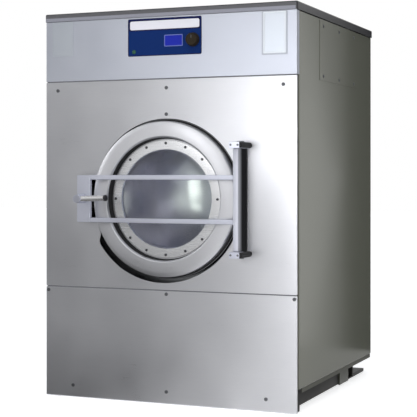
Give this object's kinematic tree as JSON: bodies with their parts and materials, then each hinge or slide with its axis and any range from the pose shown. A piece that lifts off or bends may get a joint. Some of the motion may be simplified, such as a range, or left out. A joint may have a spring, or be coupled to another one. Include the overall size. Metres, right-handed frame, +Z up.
{
  "type": "washer-extractor",
  "caption": "Front-loading hardmount washer-extractor with a round glass door held in a yoke, a side hinge post and a lever handle.",
  "frame": {"origin": "centre of the footprint, on the floor under the base frame", "axes": "+Z up, +X to the right seen from the front, -Y out of the front where the door is"},
  "size_m": [0.916, 1.045, 1.312],
  "materials": {
    "frame_paint": "satin",
    "sill_paint": "satin",
    "side_paint": "satin",
    "lid_paint": "satin",
    "front_steel": "brushed",
    "control_steel": "fine brushed",
    "rear_steel": "galvanised",
    "door_steel": "satin polished",
    "yoke_metal": "satin",
    "post_metal": "polished",
    "handle_metal": "polished",
    "bright_steel": "machined",
    "tub_steel": "2B mill",
    "cast_parts": "painted casting",
    "motor_paint": "enamel",
    "rubber_black": "moulded",
    "plastic_black": "moulded",
    "knob_plastic": "moulded",
    "overlay_film": "printed film",
    "display_plastic": "clear window",
    "lamp_lens": "tinted lens",
    "label_metal": "satin",
    "board_plastic": "printed board",
    "box_metal": "die cast",
    "valve_plastic": "moulded",
    "pipe_plastic": "moulded",
    "valve_body": "enamelled casting",
    "brass": "machined",
    "glass": "clear"
  },
  "bodies": {
    "cabinet": {"base_rail_left": "frame_paint", "base_rail_right": "frame_paint", "base_beams": "frame_paint", "rear_foot_plate": "frame_paint", "cabinet_sills": "sill_paint", "front_posts": "frame_paint", "rear_posts": "frame_paint", "side_panel_left": "side_paint", "side_panel_right": "side_paint", "access_cover": "side_paint", "top_cover": "lid_paint", "control_panel": "control_steel", "door_panel": "front_steel", "service_panel": "front_steel", "rear_panel": "rear_steel", "drive_cover": "rear_steel", "panel_screws": "bright_steel", "control_overlay": "overlay_film", "display_window": "display_plastic", "control_board": "board_plastic", "status_lamp": "lamp_lens", "label_plates": "label_metal", "equipment_shelf": "rear_steel", "inverter_box": "box_metal", "inlet_valves": "valve_plastic", "fill_pipe": "pipe_plastic", "cable_gland": "plastic_black", "tub_shell": "tub_steel", "tub_front": "tub_steel", "rear_bulkhead": "frame_paint", "door_gasket": "rubber_black", "bearing_housing": "cast_parts", "shaft_bearings": "bright_steel", "shaft_seal": "rubber_black", "motor": "motor_paint", "motor_mount": "frame_paint", "drive_belts": "rubber_black", "drain_valve_body": "valve_body", "drain_pipe": "pipe_plastic", "hinge_brackets": "yoke_metal", "hinge_pins": "bright_steel", "lock_box": "plastic_black"},
    "door": {"hinge_post": "post_metal", "yoke_bars": "yoke_metal", "yoke_plate": "yoke_metal", "door_ring": "door_steel", "clamp_ring": "door_steel", "clamp_screws": "bright_steel", "door_glass": "glass"},
    "door_handle": {"handle": "handle_metal", "handle_cap": "plastic_black"},
    "lock_pin": {"lock_bolt": "bright_steel"},
    "drum": {"drum_shell": "tub_steel", "drum_lifters": "tub_steel", "drum_shaft": "bright_steel", "drum_pulley": "cast_parts"},
    "motor_rotor": {"motor_pulley": "cast_parts"},
    "knob_plunger": {"encoder_shaft": "bright_steel"},
    "knob": {"control_knob": "knob_plastic"},
    "drain_disc": {"drain_valve_disc": "brass"}
  },
  "joints": [
    {"name": "door_hinge", "type": "hinge", "parent": "cabinet", "child": "door", "pos_m": [0.28, -0.4615, 0.68], "axis": [0, 0, 1], "range_deg": [0, 160]},
    {"name": "handle_turn", "type": "hinge", "parent": "door", "child": "door_handle", "pos_m": [-0.28, -0.4975, 0.68], "axis": [0, 1, 0], "range_deg": [0, 90]},
    {"name": "lock_bolt_slide", "type": "slide", "parent": "cabinet", "child": "lock_pin", "axis": [1, 0, 0], "range_m": [0, 0.008], "stiffness_N_per_m": 300},
    {"name": "drum_spin", "type": "hinge", "parent": "cabinet", "child": "drum", "pos_m": [0, -0.0175, 0.68], "axis": [0, 1, 0], "continuous": true},
    {"name": "motor_spin", "type": "hinge", "parent": "cabinet", "child": "motor_rotor", "pos_m": [-0.18, 0.3825, 0.19], "axis": [0, 1, 0], "continuous": true},
    {"name": "knob_push", "type": "slide", "parent": "cabinet", "child": "knob_plunger", "axis": [0, 1, 0], "range_m": [0, 0.0015], "stiffness_N_per_m": 1000},
    {"name": "knob_turn", "type": "hinge", "parent": "knob_plunger", "child": "knob", "pos_m": [0.097, -0.4275, 1.203], "axis": [0, 1, 0], "continuous": true},
    {"name": "drain_valve_turn", "type": "hinge", "parent": "cabinet", "child": "drain_disc", "pos_m": [0, 0.183, 0.221], "axis": [1, 0, 0], "range_deg": [0, 90]}
  ],
  "couplings": [
    {"joint": "motor_spin", "follows": "drum_spin", "ratio": 5}
  ]
}
